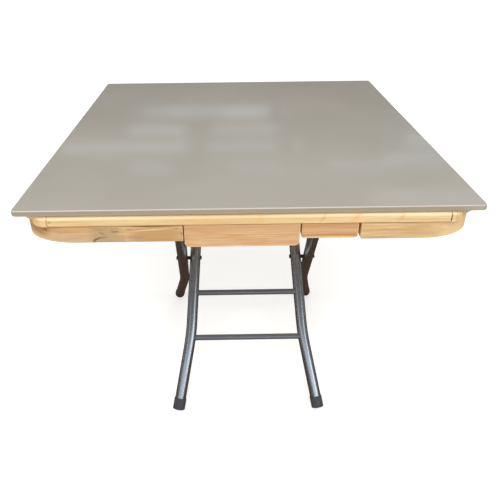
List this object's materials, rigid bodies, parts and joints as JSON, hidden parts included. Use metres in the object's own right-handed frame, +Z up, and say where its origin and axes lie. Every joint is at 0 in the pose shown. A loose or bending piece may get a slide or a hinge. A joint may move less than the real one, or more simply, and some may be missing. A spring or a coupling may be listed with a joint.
{
  "type": "folding mahjong table",
  "caption": "Square game table with a loose cover board, drawers and cup trays in its wooden aprons, on a crossed pair of folding steel tube legs.",
  "frame": {"origin": "on the floor under the middle of the top", "axes": "+Z up, -Y towards the player at the front, +X to that player's right"},
  "size_m": [0.88, 0.88, 0.76],
  "materials": {
    "cover_laminate": "satin laminate on fibreboard",
    "rim_wood": "clear lacquered pale softwood",
    "apron_wood": "clear lacquered softwood with knots",
    "drawer_wood": "clear lacquered, fine grain",
    "tray_wood": "clear lacquered, striped grain",
    "box_wood": "planed softwood",
    "thin_ply": "sanded plywood",
    "green_felt": "napped felt",
    "leg_enamel": "glossy grey enamel",
    "foot_rubber": "moulded, matt",
    "zinc_steel": "zinc plated",
    "black_steel": "blackened"
  },
  "bodies": {
    "table": {"playing_panel": "thin_ply", "playing_felt": "green_felt", "rim_corners": "rim_wood", "bearer_left": "box_wood", "bearer_right": "box_wood", "hinge_brackets": "zinc_steel", "latch_hooks": "zinc_steel", "bracket_screws": "zinc_steel", "corner_block_front_left": "apron_wood", "corner_block_front_right": "apron_wood", "corner_block_rear_left": "apron_wood", "corner_block_rear_right": "apron_wood", "rim_rail_front": "rim_wood", "rim_rail_right": "rim_wood", "rim_rail_rear": "rim_wood", "rim_rail_left": "rim_wood", "aprons_front": "apron_wood", "aprons_right": "apron_wood", "aprons_rear": "apron_wood", "aprons_left": "apron_wood", "runners_front": "box_wood", "runners_right": "box_wood", "runners_rear": "box_wood", "runners_left": "box_wood"},
    "cover": {"cover_board": "cover_laminate"},
    "outer_leg": {"outer_tube_left": "leg_enamel", "outer_tube_right": "leg_enamel", "outer_feet": "foot_rubber", "hinge_rod": "zinc_steel", "pivot_bolts": "black_steel", "pivot_spacers": "black_steel", "pivot_nuts": "black_steel"},
    "inner_leg": {"inner_tube_left": "leg_enamel", "inner_tube_right": "leg_enamel", "upper_crossbar": "leg_enamel", "lower_crossbar": "leg_enamel", "top_bar": "zinc_steel", "inner_feet": "foot_rubber"},
    "drawer_front": {"drawer_face_front": "drawer_wood", "drawer_box_front": "box_wood", "drawer_bottom_front": "thin_ply"},
    "tray_front": {"tray_face_front": "tray_wood", "tray_plate_front": "tray_wood"},
    "drawer_right": {"drawer_face_right": "drawer_wood", "drawer_box_right": "box_wood", "drawer_bottom_right": "thin_ply"},
    "tray_right": {"tray_face_right": "tray_wood", "tray_plate_right": "tray_wood"},
    "drawer_rear": {"drawer_face_rear": "drawer_wood", "drawer_box_rear": "box_wood", "drawer_bottom_rear": "thin_ply"},
    "tray_rear": {"tray_face_rear": "tray_wood", "tray_plate_rear": "tray_wood"},
    "drawer_left": {"drawer_face_left": "drawer_wood", "drawer_box_left": "box_wood", "drawer_bottom_left": "thin_ply"},
    "tray_left": {"tray_face_left": "tray_wood", "tray_plate_left": "tray_wood"}
  },
  "joints": [
    {"name": "cover_lift", "type": "slide", "parent": "table", "child": "cover", "axis": [0, 0, 1], "range_m": [0, 0.3]},
    {"name": "drawer_slide_front", "type": "slide", "parent": "table", "child": "drawer_front", "axis": [0, -1, 0], "range_m": [0, 0.17]},
    {"name": "tray_slide_front", "type": "slide", "parent": "table", "child": "tray_front", "axis": [0, -1, 0], "range_m": [0, 0.1]},
    {"name": "drawer_slide_right", "type": "slide", "parent": "table", "child": "drawer_right", "axis": [1, 0, 0], "range_m": [0, 0.17]},
    {"name": "tray_slide_right", "type": "slide", "parent": "table", "child": "tray_right", "axis": [1, 0, 0], "range_m": [0, 0.1]},
    {"name": "drawer_slide_rear", "type": "slide", "parent": "table", "child": "drawer_rear", "axis": [0, 1, 0], "range_m": [0, 0.17]},
    {"name": "tray_slide_rear", "type": "slide", "parent": "table", "child": "tray_rear", "axis": [0, 1, 0], "range_m": [0, 0.1]},
    {"name": "drawer_slide_left", "type": "slide", "parent": "table", "child": "drawer_left", "axis": [-1, 0, 0], "range_m": [0, 0.17]},
    {"name": "tray_slide_left", "type": "slide", "parent": "table", "child": "tray_left", "axis": [-1, 0, 0], "range_m": [0, 0.1]},
    {"name": "outer_leg_fold", "type": "hinge", "parent": "table", "child": "outer_leg", "pos_m": [0, -0.24488, 0.669], "axis": [-1, 0, 0], "range_deg": [0, 35]},
    {"name": "inner_leg_fold", "type": "hinge", "parent": "outer_leg", "child": "inner_leg", "pos_m": [0, 0, 0.34989], "axis": [-1, 0, 0], "range_deg": [-70, 0]}
  ],
  "couplings": [
    {"joint": "inner_leg_fold", "follows": "outer_leg_fold", "ratio": -2}
  ]
}
